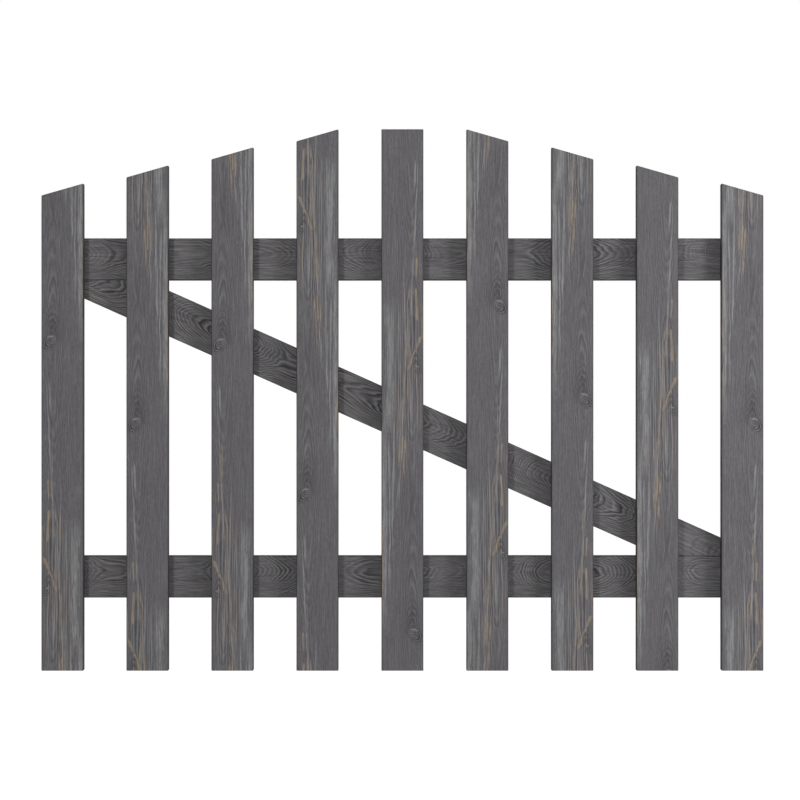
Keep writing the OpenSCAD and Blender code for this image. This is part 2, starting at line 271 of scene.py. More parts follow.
# The plane took a little more off the arris in some places than in others.
pressure = noise(
    board_tree,
    vector(board_tree, given["Seed"], 3.0, unit[2] * given["Length"] * PLANE_STROKES),
    detail=2.0,
)
ease = given["Arris"] * (pressure * 0.9 + 0.5)
kept = []
outward = []
for at, half, count in zip(unit, halves, lines):
    columns = (count - 1) * 0.5
    from_edge = (0.5 - abs(at)) * columns * 2.0
    inner = (half - given["Arris"]) / (columns - EASED_COLUMNS)
    eased = from_edge.least(EASED_COLUMNS) * given["Arris"] / EASED_COLUMNS
    inset = eased + (from_edge - EASED_COLUMNS).most(0.0) * inner
    spread = (half - inset) * at.reckon("SIGN")
    core = spread.least(half - ease).most(ease - half)
    kept.append(core)
    outward.append((spread - core) / ease)
round_off = result(
    board_tree, "ShaderNodeVectorMath", {0: vector(board_tree, *outward)}, operation="NORMALIZE"
)
across, deep, along = [
    core + out * ease for core, out in zip(kept, parts(board_tree, round_off))
]
# A planed board is never quite flat: it has shrunk by a few tenths here and there.
hollow = noise(
    board_tree, vector(board_tree, across * 14.0, given["Seed"], along * 6.0), detail=1.0
)
pinch = noise(board_tree, vector(board_tree, given["Seed"], along * 7.0, 5.0), detail=1.0)
deep = deep * (1.0 - hollow * HOLLOWING)
across = across * (1.0 - pinch * SHRINKAGE)
share = along / given["Length"] + 0.5
skew = given["Start_skew"] + (given["End_skew"] - given["Start_skew"]) * share
shaped = moved(
    board_tree, block, across + halves[0], deep + halves[1], along + halves[2] + across * skew
)
stood = result(
    board_tree,
    "GeometryNodeTransform",
    {
        "Geometry": shaped,
        "Translation": given["Corner"],
        "Rotation": vector(board_tree, 0.0, given["Turn"], 0.0),
    },
)
seats = place(board_tree, "GeometryNodeObjectInfo", {"Object": given["Screw_seats"]})
countersink = result(
    board_tree,
    "GeometryNodeMeshCone",
    {
        "Vertices": 20,
        "Radius Top": given["Seat_radius"] * 1.05,
        "Radius Bottom": given["Seat_radius"] * 0.45,
        "Depth": given["Seat_depth"] * 1.1,
    },
    fill_type="NGON",
)
countersinks = copies(
    board_tree,
    Wire(board_tree, seats.outputs["Geometry"]),
    facing_back(board_tree, countersink, given["Seat_depth"]),
)
bored = result(
    board_tree,
    "GeometryNodeMeshBoolean",
    {
        "Mesh 1": stood,
        "Mesh 2": result(board_tree, "GeometryNodeRealizeInstances", {0: countersinks}),
    },
    operation="DIFFERENCE",
)
# Where a point lies in its own board: across the face, back from it, and down from the main knot.
from_corner = result(
    board_tree,
    "ShaderNodeVectorMath",
    {0: result(board_tree, "GeometryNodeInputPosition"), 1: given["Corner"]},
    operation="SUBTRACT",
)
turned_back = result(
    board_tree,
    "ShaderNodeVectorRotate",
    {"Vector": from_corner, "Angle": given["Turn"]},
    rotation_type="Y_AXIS",
    invert=True,
)
own = parts(board_tree, turned_back)
own_across = own[0] + (given["Width"] - own[0] * 2.0) * given["Mirrored"]
marked = bored
for name, marks in (
    ("board", vector(board_tree, own_across, own[1], given["Knot_height"] - own[2])),
    ("board_sort", vector(board_tree, given["Seed"], given["Flame_pitch"])),
):
    marked = result(
        board_tree,
        "GeometryNodeStoreNamedAttribute",
        {"Geometry": marked, "Name": name, "Value": marks},
        data_type="FLOAT_VECTOR",
        domain="POINT",
    )
smoothed = result(board_tree, "GeometryNodeSetShadeSmooth", {"Geometry": marked})
finished(board_tree, smoothed, given["Timber"])

# Growth rings and fibres. The rings are cylinders about a pith that wanders behind the board, so
# they make long lines on its face, flames where the pith comes near, and arcs on its ends.
grain_tree = bpy.data.node_groups.new("spruce_grain", "ShaderNodeTree")
given = inputs_of(
    grain_tree,
    Across=0.0,
    Deep=0.0,
    Along=0.0,
    Seed=0.0,
    Ring_spacing=3.5,
    Pith_across=35.0,
    Pith_depth=40.0,
    Wander=12.0,
    Wander_length=220.0,
    Rise=0.0,
    Rise_length=140.0,
)
far = given["Along"] / given["Wander_length"]
drift = noise(grain_tree, vector(grain_tree, given["Seed"] * 7.3, 1.7, far * 0.8), detail=1.0)
dive = noise(grain_tree, vector(grain_tree, given["Seed"] * 3.1, 9.2, far), detail=1.0)
warp = noise(
    grain_tree,
    vector(grain_tree, given["Across"] / 14.0, given["Seed"], given["Along"] / 70.0),
    detail=2.0,
)
side = given["Across"] - given["Pith_across"] - (drift - 0.5) * given["Wander"] * 0.7
climb = (given["Along"] + (dive - 0.5) * 60.0).reckon("PINGPONG", given["Rise_length"])
back = given["Deep"] + given["Pith_depth"] + (dive - 0.5) * given["Wander"] * 3.0
back = abs(back + climb * given["Rise"]) + 2.0
ring = (side.squared() + back.squared()).reckon("SQRT") + (warp - 0.5) * 4.0
turns = ring / given["Ring_spacing"]
phase = turns.reckon("FRACT")
late = phase.ramp(0.3, 0.8) * phase.ramp(0.85, 1.0, 1.0, 0.0)
year = noise(grain_tree, vector(grain_tree, turns.reckon("FLOOR") * 1.37, 4.0, far * 2.0))
late = late * year.ramp(0.2, 0.7, 0.15, 1.0)
early = phase.ramp(0.0, 0.12) * phase.ramp(0.12, 0.4, 1.0, 0.0) * year.ramp(0.3, 0.7)
fibre = noise(
    grain_tree,
    vector(
        grain_tree,
        given["Across"] * 0.34 + ring * 0.1,
        given["Deep"] * 0.4 + given["Seed"],
        given["Along"] * 0.011,
    ),
    detail=3.0,
    roughness=0.6,
)
hair = noise(
    grain_tree,
    vector(
        grain_tree,
        given["Across"] * 0.85,
        given["Deep"] * 0.85 + given["Seed"] * 3.0,
        given["Along"] * 0.034,
    ),
    detail=4.0,
    roughness=0.75,
)
cloud = noise(
    grain_tree,
    vector(grain_tree, given["Across"] / 22.0, given["Seed"] * 1.3, given["Along"] / 90.0),
    detail=2.0,
)
outputs_of(
    grain_tree,
    Late_wood=late,
    Early_wood=early,
    Fibre=fibre,
    Hair=hair,
    Cloud=cloud,
)

# A streak that runs along the fibres from one point on the board to another and fades at its ends.
streak_tree = bpy.data.node_groups.new("streak", "ShaderNodeTree")
given = inputs_of(
    streak_tree,
    Across=0.0,
    Along=0.0,
    Fibre=0.5,
    Start=(0.0, 0.0, 0.0),
    End=(0.0, 0.0, 0.0),
    Half_width=3.0,
    Raggedness=4.0,
)
start_across, start_along, _ = parts(streak_tree, given["Start"])
end_across, end_along, _ = parts(streak_tree, given["End"])
gone = (given["Along"] - start_along) / (end_along - start_along)
middle = start_across + (end_across - start_across) * gone
stray = abs(given["Across"] - middle + (given["Fibre"] - 0.5) * given["Raggedness"] * 2.0)
inside = (stray / given["Half_width"]).ramp(0.35, 1.0, 1.0, 0.0)
faded = gone.ramp(0.0, 0.25) * gone.ramp(0.75, 1.0, 1.0, 0.0)
outputs_of(streak_tree, Mask=inside * faded)


def grouped(tree, group, inputs):
    """Puts a shader group in a tree, and returns its outputs by name."""
    made = place(tree, "ShaderNodeGroup", inputs, node_tree=group)
    return {output.name: Wire(tree, output) for output in made.outputs}


def layered(tree, tone, *layers):
    """A colour under layers of others, the lowest first, each given as a mask and a colour."""
    for mask, colour in layers:
        under = tone if isinstance(tone, Wire) else (*tone, 1.0)
        inputs = {0: mask, 6: under, 7: (*colour, 1.0)}
        mixed = place(tree, "ShaderNodeMix", inputs, data_type="RGBA")
        tone = Wire(tree, mixed.outputs[2])
    return tone


def new_finish(name):
    """A material with one Principled shader, and that shader's node."""
    finish = bpy.data.materials.new(name)
    finish.use_nodes = True
    return finish, finish.node_tree, finish.node_tree.nodes["Principled BSDF"]


def feed(tree, shader, **wires):
    """Feeds wires to a shader's inputs."""
    for name, wire in wires.items():
        tree.links.new(wire.socket, shader.inputs[spoken(name)])


MILLIMETRES = 1000.0


def relief(tree, shader, height, millimetres):
    """Raises a finish by a height from 0 to 1."""
    depth = millimetres / MILLIMETRES
    bump = result(tree, "ShaderNodeBump", {"Height": height, "Distance": depth})
    feed(tree, shader, Normal=bump)


def board_place(tree):
    """Where the finish is in its board, in millimetres, the board's seed and its flames' pitch."""
    where = place(tree, "ShaderNodeAttribute", attribute_name="board")
    sort = place(tree, "ShaderNodeAttribute", attribute_name="board_sort")
    metres = parts(tree, Wire(tree, where.outputs["Vector"]))
    seed, pitch, _ = parts(tree, Wire(tree, sort.outputs["Vector"]))
    return [wire * MILLIMETRES for wire in metres] + [seed, pitch * MILLIMETRES]


def strongest(wires):
    """The highest of some wires at each point."""
    highest, *others = wires
    for wire in others:
        highest = highest.most(wire)
    return highest


STAIN_MID = (0.119, 0.112, 0.1205)
STAIN_LIGHT = (0.262, 0.266, 0.268)
STAIN_DARK = (0.056, 0.053, 0.058)
ARRIS_PAINTED_SHADE = (0.048, 0.045, 0.049)
SIDE_FACE_PAINTED_SHADE = (0.026, 0.024, 0.027)
WORN_TAN = (0.330, 0.252, 0.176)
KNOT_DARK = (0.045, 0.042, 0.046)
KNOT_CREST = (0.310, 0.275, 0.225)
PATTERN_PERIOD = 855.0
PICKET_WIDTH = 0.070
BOARD_ARRIS = 0.0016
picket_stain, tree, shader = new_finish("weathered picket stain")
across, deep, along, seed, _ = board_place(tree)
along = along.reckon("FLOORED_MODULO", PATTERN_PERIOD)
# The fibres flow round the knots: beside one they are pushed away from its middle, and draw
# together again above and below it. The knot itself is a nest of fine arcs with a pale crest, and
# a flame of finer lines stands on it. Each knot is given by where it is across the board and down
# it, and by its size, all in millimetres.
KNOTS = ((14.0, 0.0, 9.5), (14.0, PATTERN_PERIOD, 9.5), (10.0, 414.0, 5.5))
KNOT_ARC = 3.2
FLAME_LINE = 3.0
flow = across
all_arcs = []
all_pale = []
all_crests = []
for knot_across, knot_along, knot_size in KNOTS:
    off_side = (across - knot_across) / knot_size
    off_along = (along - knot_along) / (knot_size * 1.1)
    reach = off_side.squared() * 0.8 + (off_along / 4.5).squared()
    flow = flow - (across - knot_across) * (1.0 + reach).reckon("POWER", -1.8) * 0.8
    ragged = noise(
        tree, vector(tree, across / 5.0, knot_along, along / 7.0), detail=2.0, roughness=0.6
    )
    nest = ((off_side + off_along * 0.3).squared() + off_along.squared()).reckon("SQRT")
    distance = nest + (ragged - 0.5) * 0.7
    arcs = (distance * (math.tau * knot_size / KNOT_ARC)).reckon("SINE") * 0.5 + 0.5
    sided = (off_side * -0.6 + off_along * 0.5).ramp(-1.0, 0.3, 0.15, 1.0)
    pale = (1.0 - arcs) * distance.ramp(0.4, 1.3, 1.0, 0.0) * sided * 0.35
    arcs = arcs.ramp(0.3, 0.75) * distance.ramp(0.9, 1.7, 1.0, 0.0) * sided
    tall = ((off_side - 0.5).squared() + (off_along * 0.3).squared()).reckon("SQRT")
    tall = tall + (ragged - 0.5) * 0.5
    flame = (tall * (math.tau * knot_size / FLAME_LINE)).reckon("SINE") * 0.5 + 0.5
    flame = flame * tall.ramp(0.9, 2.4, 1.0, 0.0) * off_along.ramp(-0.6, 0.6, 1.0, 0.0)
    crest = abs(distance - 0.85).ramp(0.06, 0.17, 1.0, 0.0)
    crest = crest * (off_along + abs(off_side + 0.1) * 0.7).ramp(-0.55, -0.2, 1.0, 0.0)
    all_arcs.append(arcs.most(flame * nest.ramp(0.9, 1.4) * 0.6))
    all_pale.append(pale)
    all_crests.append(crest)
knot_arcs = strongest(all_arcs)
knot_pale = strongest(all_pale)
knot_crest = strongest(all_crests)
grain = grouped(
    tree,
    grain_tree,
    {
        "Across": flow,
        "Deep": deep,
        "Along": along,
        "Seed": 0.0,
        "Ring spacing": 2.3,
        "Pith across": 18.5,
        "Pith depth": 5.0,
        "Wander": 5.0,
        "Wander length": 230.0,
        "Rise": 0.075,
        "Rise length": PATTERN_PERIOD / 4.0,
    },
)
own_hair = noise(
    tree,
    vector(tree, flow * 0.75, deep * 0.75 + seed * 5.0, along * 0.022),
    detail=4.0,
    roughness=0.75,
)


def streaks(tree, across, along, fibre, runs):
    """The masks of some streaks, the strongest at each point."""
    masks = []
    for start, end, half_width, raggedness in runs:
        one = {
            "Across": across,
            "Along": along,
            "Fibre": fibre,
            "Start": (*start, 0.0),
            "End": (*end, 0.0),
            "Half width": half_width,
            "Raggedness": raggedness,
        }
        masks.append(grouped(tree, streak_tree, one)["Mask"])
    return strongest(masks)


# Streaks where the stain has worn thin, and where it has gone tan. Each is given by where it starts
# and ends, across the board and down it, by half its width and by how ragged it is, in millimetres.
PALE_RUNS = (
    ((13, 62), (15, 112), 2.0, 3.0),
    ((8, 50), (17, 240), 1.7, 3.0),
    ((15, 190), (25, 410), 1.9, 3.0),
    ((33, 230), (29, 400), 1.2, 4.0),
    ((54, 280), (57, 540), 9.0, 20.0),
    ((30, 380), (44, 660), 2.2, 6.0),
    ((48, 470), (52, 740), 1.8, 6.0),
    ((57, 500), (56, 800), 1.6, 5.0),
    ((64, 430), (65, 880), 5.5, 6.0),
)
TAN_RUNS = (
    ((19, 225), (27, 420), 1.0, 5.0),
    ((23, 260), (31, 440), 1.1, 5.0),
    ((27, 330), (17, 425), 1.5, 4.0),
    ((25, 415), (36, 640), 1.8, 7.0),
    ((31, 440), (38, 590), 1.3, 7.0),
    ((42, 430), (40, 620), 1.3, 7.0),
    ((67, 580), (68, 840), 1.1, 1.0),
    ((17, 150), (19, 232), 0.9, 3.0),
)
# Spindles where the stain has worn right through to the wood.
BARE_RUNS = (
    ((11, 226), (12, 264), 2.2, 4.0),
    ((12, 274), (11, 338), 2.8, 4.0),
    ((2, 300), (2, 372), 1.0, 2.0),
    ((1, 352), (27, 420), 3.2, 6.0),
    ((28, 372), (35, 520), 1.3, 5.0),
    ((34, 520), (36, 570), 1.3, 3.0),
)
fibre = grain["Fibre"]
wisp = noise(tree, vector(tree, flow * 0.16, 2.0, along * 0.014), detail=3.0, roughness=0.6)
pale = streaks(tree, flow, along, wisp, PALE_RUNS)
tan = streaks(tree, flow, along, wisp, TAN_RUNS)
bare = streaks(tree, flow, along, wisp, BARE_RUNS)
tooth = noise(tree, vector(tree, flow * 0.6, deep * 0.7 + seed, along * 0.16), detail=2.0)
threads = own_hair.ramp(0.44, 0.56)
strands = grain["Hair"].ramp(0.48, 0.58)
# The rings show most in a strip in front of the pith, and hardly at all beside it.
before_pith = abs(across - 24.0).ramp(10.0, 26.0, 1.0, 0.12)
ringed = grain["Cloud"].ramp(0.35, 0.60, 0.35, 1.0) * before_pith
# Where the board is most weathered, threads of pale and bare wood lie all over it.
thread = noise(
    tree, vector(tree, flow * 0.78, deep * 0.6 + 7.0, along * 0.0075), detail=2.0, roughness=0.6
)
worn_zone = abs(flow - 27.0 + (wisp - 0.5) * 24.0).ramp(14.0, 26.0, 1.0, 0.0)
worn_zone = worn_zone * along.ramp(260.0, 350.0) * along.ramp(470.0, 620.0, 1.0, 0.0)
# Painted shade darkens the arrises, and a darker painted shade covers the sawn side faces.
from_arris = across.least(PICKET_WIDTH * MILLIMETRES - across)
side_face_shade = from_arris.ramp(0.1, 0.6, 1.0, 0.0) * deep.ramp(0.4, 1.2)
tone = layered(
    tree,
    STAIN_MID,
    (grain["Cloud"].ramp(0.3, 0.75, 0.0, 0.08), STAIN_LIGHT),
    (fibre.ramp(0.55, 0.75, 0.0, 0.26), STAIN_LIGHT),
    (fibre.ramp(0.45, 0.25, 0.0, 0.28), STAIN_DARK),
    (strands * 0.2, STAIN_LIGHT),
    ((1.0 - threads) * 0.32, STAIN_DARK),
    (tooth.ramp(0.5, 0.3, 0.0, 0.22), STAIN_DARK),
    (tooth.ramp(0.55, 0.75, 0.0, 0.16), STAIN_LIGHT),
    (grain["Late wood"] * ringed * 0.52, STAIN_DARK),
    (grain["Early wood"] * ringed * 0.22, STAIN_LIGHT),
    (pale * (threads * 0.45 + strands * 0.35 + tooth * 0.35), STAIN_LIGHT),
    (tan * (threads * 0.6 + strands * 0.45), WORN_TAN),
    (thread.ramp(0.52, 0.57) * worn_zone * 0.6, STAIN_LIGHT),
    (thread.ramp(0.47, 0.42) * worn_zone * 0.7, STAIN_DARK),
    (thread.ramp(0.58, 0.64) * worn_zone * wisp.ramp(0.4, 0.6) * 0.8, WORN_TAN),
    (bare.ramp(0.1, 0.5) * (threads * 0.4 + strands * 0.3 + 0.25), WORN_TAN),
    (knot_arcs, KNOT_DARK),
    (knot_pale * 0.8, STAIN_LIGHT),
    (knot_crest * 0.75, KNOT_CREST),
    # painted shade along the arrises
    (from_arris.ramp(0.3, 2.2, 1.0, 0.0), ARRIS_PAINTED_SHADE),
    # painted shade on the sawn side faces, which stand in the lamps' shadow
    (side_face_shade * 0.9, SIDE_FACE_PAINTED_SHADE),
)
feed(tree, shader, Base_Color=tone, Roughness=0.80 - pale * 0.06 + threads * 0.06)
shader.inputs["Specular IOR Level"].default_value = 0.28
height = own_hair * 0.5 + fibre * 0.6 - grain["Late wood"] * 0.35 - bare * 0.4 - knot_arcs * 0.3
relief(tree, shader, height, 0.3)

PICKET_FALL = 0.020
PICKET_SKEW = PICKET_FALL / PICKET_WIDTH
PICKET_ROWS = 101
SEED_STEP = 0.37
MIDDLE_PICKET = 5
# How high the main knot stands on each picket, in metres. On one it is just below the foot.
MAIN_KNOT_HEIGHTS = (0.547, 0.410, 0.542, 0.293, 0.060, 0.606, 0.451, -0.008, 0.410)
for number, knot_height in enumerate(MAIN_KNOT_HEIGHTS, 1):
    low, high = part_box(f"picket_{number}")
    side = (number < MIDDLE_PICKET) - (number > MIDDLE_PICKET)
    piece = grow(
        f"picket_board_{number}",
        board_tree,
        {
            "Width": high.x - low.x,
            "Thickness": high.y - low.y,
            "Length": high.z - low.z - abs(side) * PICKET_FALL / 2,
            "Rows": PICKET_ROWS,
            "Arris": BOARD_ARRIS,
            "End skew": side * PICKET_SKEW,
            "Corner": low,
            "Seed": number * SEED_STEP,
            "Knot height": knot_height,
            "Mirrored": float(number >= MIDDLE_PICKET),
            "Timber": picket_stain,
        },
    )
    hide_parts(f"picket_{number}")
    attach(piece, "leaf")

# ---------------------------------------------------------------------------------------------
# The rails. Two boards of the same spruce, 70 by 28 mm, as long as the gate is wide. They lie flat
# against the backs of the pickets, and their grain shows strong flames under the stain. The back of
# each is countersunk for the screws that hold the pickets.
# ---------------------------------------------------------------------------------------------
RAIL_WIDTH = 0.070
RAIL_THICKNESS = 0.028
RAIL_ROWS = 141
FRAME_MID = (0.137, 0.131, 0.139)
FRAME_LIGHT = (0.255, 0.250, 0.245)
FRAME_DARK = (0.034, 0.032, 0.036)
frame_stain, tree, shader = new_finish("weathered frame stain")
across, deep, along, seed, pitch = board_place(tree)
grain = grouped(
    tree,
    grain_tree,
    {
        "Across": across,
        "Deep": RAIL_THICKNESS * MILLIMETRES - deep,
        "Along": along,
        "Seed": seed,
        "Ring spacing": 1.75,
        "Pith across": 26.0,
        "Pith depth": 3.0,
        "Wander": 11.0,
        "Wander length": 110.0,
        "Rise": 0.15,
        "Rise length": pitch,
    },
)
FRAME_TAN_RUNS = (
    ((49, -400), (51, 1700), 2.4, 5.0),
    ((59, -400), (57, 1700), 1.8, 5.0),
    ((8, -300), (11, 1600), 1.4, 3.0),
)
worn_lengths = noise(tree, vector(tree, seed * 2.0, across / 9.0, along / 60.0), detail=1.0)
tan = streaks(tree, across, along, grain["Fibre"], FRAME_TAN_RUNS) * worn_lengths.ramp(0.44, 0.62)
strands = grain["Hair"].ramp(0.44, 0.60)
# Some lengths show bold flames and others little more than straight fibres.
bold = noise(tree, vector(tree, seed * 4.1, 3.0, along / 120.0), detail=1.0)
figure = grain["Cloud"].ramp(0.3, 0.55, 0.35, 1.0) * bold.ramp(0.38, 0.58, 0.3, 1.0)
from_arris = across.least(RAIL_WIDTH * MILLIMETRES - across)
tone = layered(
    tree,
    FRAME_MID,
    (grain["Cloud"].ramp(0.35, 0.75, 0.0, 0.22), FRAME_LIGHT),
    (grain["Fibre"].ramp(0.5, 0.75, 0.0, 0.3), FRAME_LIGHT),
    (grain["Fibre"].ramp(0.5, 0.25, 0.0, 0.4), FRAME_DARK),
    (strands * 0.22, FRAME_LIGHT),
    ((1.0 - strands) * 0.38, FRAME_DARK),
    (grain["Late wood"] * figure * 0.92, FRAME_DARK),
    (grain["Early wood"] * figure * 0.66, FRAME_LIGHT),
    (tan * (strands * 0.6 + 0.1), WORN_TAN),
    # painted shade along the arrises of the rails and the brace
    (from_arris.ramp(0.2, 2.4, 0.7, 0.0), FRAME_DARK),
)
feed(tree, shader, Base_Color=tone, Roughness=0.78 + grain["Fibre"] * 0.1)
shader.inputs["Specular IOR Level"].default_value = 0.25
height = grain["Hair"] * 0.4 + grain["Fibre"] * 0.6 - grain["Late wood"] * 0.5
relief(tree, shader, height, 0.4)


SAME_SPOT = 1e-6


def solids(node):
    """The lowest and highest corners of each separate solid in a CAD node, from left to right."""
    shape = bmesh.new()
    shape.from_mesh(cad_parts[node].data)
    bmesh.ops.remove_doubles(shape, verts=shape.verts, dist=SAME_SPOT)
    found = []
    waiting = set(shape.verts)
    while waiting:
        reached = [waiting.pop()]
        for vert in reached:
            for edge in vert.link_edges:
                other = edge.other_vert(vert)
                if other in waiting:
                    waiting.remove(other)
                    reached.append(other)
        spots = [vert.co for vert in reached]
        low = Vector([min(spot[axis] for spot in spots) for axis in range(3)])
        high = Vector([max(spot[axis] for spot in spots) for axis in range(3)])
        found.append((low, high))
    shape.free()
    return sorted(found, key=lambda pair: (round(pair[0].x, 5), round(pair[0].z, 5)))


def screw_seats(node):
    """A mesh with one point at the middle of each screw's head in a CAD node."""
    points = [
        ((low.x + high.x) / 2, high.y, (low.z + high.z) / 2) for low, high in solids(node)
    ]
    seats = bpy.data.meshes.new(node + " seats")
    seats.from_pydata(points, [], [])
    return seats


def with_seats(name, node, sizes, seat_node):
    """A board grown with countersinks at the points of the screws that sit in it."""
    marker = bpy.data.objects.new(name + " seats", screw_seats(seat_node))
    piece = grow(name, board_tree, {**sizes, "Screw seats": marker})
    bpy.data.objects.remove(marker)
    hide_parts(node)
    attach(piece, "leaf")
    return piece


first_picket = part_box("picket_1")
first_middle = (first_picket[0].x + first_picket[1].x) / 2
picket_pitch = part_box("picket_2")[0].x - first_picket[0].x
for name, seed in (("top", 2.3), ("bottom", 5.1)):
    low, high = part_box(f"{name}_rail")
    with_seats(
        f"{name}_rail_board",
        f"{name}_rail",
        {
            "Width": high.z - low.z,
            "Thickness": high.y - low.y,
            "Length": high.x - low.x,
            "Rows": RAIL_ROWS,
            "Arris": BOARD_ARRIS,
            "Turn": math.pi / 2,
            "Corner": Vector((low.x, low.y, high.z)),
            "Seed": seed,
            "Knot height": first_middle - low.x,
            "Flame pitch": picket_pitch,
            "Timber": frame_stain,
        },
        f"{name}_rail_screws",
    )

# ---------------------------------------------------------------------------------------------
# The brace. One board of the rails' section between them, from under the latch end of the top rail
# to the hinge end of the bottom rail, so that it carries the weight of the latch side. Its ends are
# sawn level, flush against the rails.
# ---------------------------------------------------------------------------------------------
BRACE_ROWS = 121
BRACE_SEED = 8.9
NEAR = 0.0005
low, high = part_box("brace")
brace_points = [vert.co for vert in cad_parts["brace"].data.vertices]
at_top = [spot.x for spot in brace_points if spot.z > high.z - NEAR]
level_cut = max(at_top) - min(at_top)
rise = high.z - low.z
slope = math.atan2(rise, high.x - low.x - level_cut)
brace_width = level_cut * math.sin(slope)
middle_start = Vector((low.x + level_cut / 2, low.y, high.z))
across_way = Vector((-math.sin(slope), 0.0, -math.cos(slope)))
with_seats(
    "brace_board",
    "brace",
    {
        "Width": brace_width,
        "Thickness": high.y - low.y,
        "Length": rise / math.sin(slope),
        "Rows": BRACE_ROWS,
        "Arris": BOARD_ARRIS,
        "Start skew": -1.0 / math.tan(slope),
        "End skew": -1.0 / math.tan(slope),
        "Turn": math.pi / 2 + slope,
        "Corner": middle_start - across_way * brace_width / 2,
        "Seed": BRACE_SEED,
        "Knot height": (first_middle - middle_start.x) / math.cos(slope),
        "Flame pitch": picket_pitch / math.cos(slope),
        "Timber": frame_stain,
    },
    "brace_screws",
)

# ---------------------------------------------------------------------------------------------
# The board screws. Fifty-two zinc-plated countersunk screws, 4 by 40 mm with a star drive, driven
# from the back through the rails and the brace into the pickets, their heads just below the face.
# No two stop at the same turn.
# ---------------------------------------------------------------------------------------------
SCREW_SIDES = 24
SCREW_STEPS = 4
STAR_POINTS = 6
STAR_WAIST = 0.3
TIP_TAPER = 0.85
screw_tree = bpy.data.node_groups.new("countersunk_screw", "GeometryNodeTree")
given = inputs_of(
    screw_tree,
    Geometry="Geometry",
    Head_radius=0.004,
    Shank_radius=0.002,
    Length=0.040,
    Rim=0.00025,
    Tip=0.004,
    Drive_radius=0.002,
    Drive_depth=0.0012,
    Sunk=0.0002,
    Seed=1,
    Steel="Material",
)


def plain_rod(tree, sides, steps):
    """A rod one across each way, where its points are, and their ring's number from the top."""
    sizes = {"Vertices": sides, "Side Segments": steps, "Radius": 1.0, "Depth": 1.0}
    rod = result(tree, "GeometryNodeMeshCylinder", sizes)
    x, y, z = parts(tree, result(tree, "GeometryNodeInputPosition"))
    return rod, x, y, z, ((0.5 - z) * steps).reckon("ROUND")


rod, x, y, z, ring = plain_rod(screw_tree, SCREW_SIDES, SCREW_STEPS)
steps = [ring.ramp(step, step + 1, smooth=False) for step in range(SCREW_STEPS)]
cone = given["Head_radius"] - given["Shank_radius"]
body = given["Length"] - given["Rim"] - cone - given["Tip"]
radius = given["Head_radius"] - cone * steps[1] - given["Shank_radius"] * steps[3] * TIP_TAPER
depth = given["Rim"] * steps[0] + cone * steps[1] + body * steps[2] + given["Tip"] * steps[3]
turned = moved(screw_tree, rod, x * radius, y * radius, depth * -1.0)
star = result(
    screw_tree,
    "GeometryNodeMeshCylinder",
    {
        "Vertices": STAR_POINTS * 2,
        "Radius": given["Drive_radius"],
        "Depth": given["Drive_depth"] * 2.0,
    },
)
index = result(screw_tree, "GeometryNodeInputIndex")
pinched = 1.0 - index.reckon("MODULO", 2.0) * STAR_WAIST
star = moved(screw_tree, star, x * pinched, y * pinched, z)
driven = result(
    screw_tree,
    "GeometryNodeMeshBoolean",
    {"Mesh 1": turned, "Mesh 2": star},
    operation="DIFFERENCE",
)
spin = result(
    screw_tree,
    "FunctionNodeRandomValue",
    {"Min": (0.0, 0.0, 0.0), "Max": (0.0, math.tau, 0.0), "Seed": given["Seed"]},
    data_type="FLOAT_VECTOR",
)
screw = facing_back(screw_tree, driven, given["Sunk"])
set_in = copies(screw_tree, given["Geometry"], screw, Rotation=spin)
finished(screw_tree, set_in, given["Steel"])

# Dust and weather that settle on a metal part: on what faces up, and in soft patches elsewhere.
dust_tree = bpy.data.node_groups.new("settled_dust", "ShaderNodeTree")
given = inputs_of(
    dust_tree,
    Place=(0.0, 0.0, 0.0),
    Patch_scale=50.0,
    Amount=0.3,
)
facing = place(dust_tree, "ShaderNodeNewGeometry")
_, _, up = parts(dust_tree, Wire(dust_tree, facing.outputs["Normal"]))
patches = noise(
    dust_tree, given["Place"], scale=given["Patch_scale"], detail=4.0, roughness=0.65
)
settled = up.ramp(0.1, 1.0) * 0.7 + patches.ramp(0.48, 0.72) * 0.5
outputs_of(dust_tree, Mask=settled * given["Amount"])


def object_place(tree):
    """Where the finish is on the object, in metres."""
    where = place(tree, "ShaderNodeTexCoord")
    return Wire(tree, where.outputs["Object"])


ZINC = (0.58, 0.60, 0.62)
ZINC_DULL = (0.36, 0.37, 0.37)
WHITE_BLOOM = (0.62, 0.63, 0.62)
zinc, tree, shader = new_finish("zinc plate")
where = object_place(tree)
mottle = noise(tree, where, scale=700.0, detail=3.0)
dust = grouped(tree, dust_tree, {"Place": where, "Amount": 0.5})["Mask"]
feed(
    tree,
    shader,
    Base_Color=layered(
        tree, ZINC, (mottle.ramp(0.35, 0.7), ZINC_DULL), (dust * 0.6, WHITE_BLOOM)
    ),
    Metallic=1.0 - dust * 0.6,
    Roughness=mottle * 0.25 + 0.28 + dust * 0.2,
)
relief(tree, shader, mottle, 0.03)


def crisp(piece, degrees=35.0):
    """Smooth faces, with a sharp edge wherever two of them meet at a steeper angle."""
    piece.data.shade_smooth()
    piece.data.set_sharp_from_angle(angle=math.radians(degrees))


SUNK_IN_WOOD = 0.0002
SUNK_IN_STEEL = 0.00005
DRIVE_SHARE = 0.52
DRIVE_DEPTH_SHARE = 0.3


def screws(name, node, seed, sunk=SUNK_IN_WOOD):
    """The screws of a CAD node, each on its own point, as one piece."""
    low, high = solids(node)[0]
    head_radius = (high.x - low.x) / 2
    piece = grow(
        name,
        screw_tree,
        {
            "Head radius": head_radius,
            "Shank radius": head_radius / 2,
            "Length": high.y - low.y - sunk,
            "Tip": head_radius,
            "Drive radius": head_radius * DRIVE_SHARE,
            "Drive depth": head_radius * DRIVE_DEPTH_SHARE,
            "Sunk": sunk,
            "Seed": seed,
            "Steel": zinc,
        },
        screw_seats(node),
    )
    crisp(piece, degrees=30.0)
    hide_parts(node)
    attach(piece, "leaf")


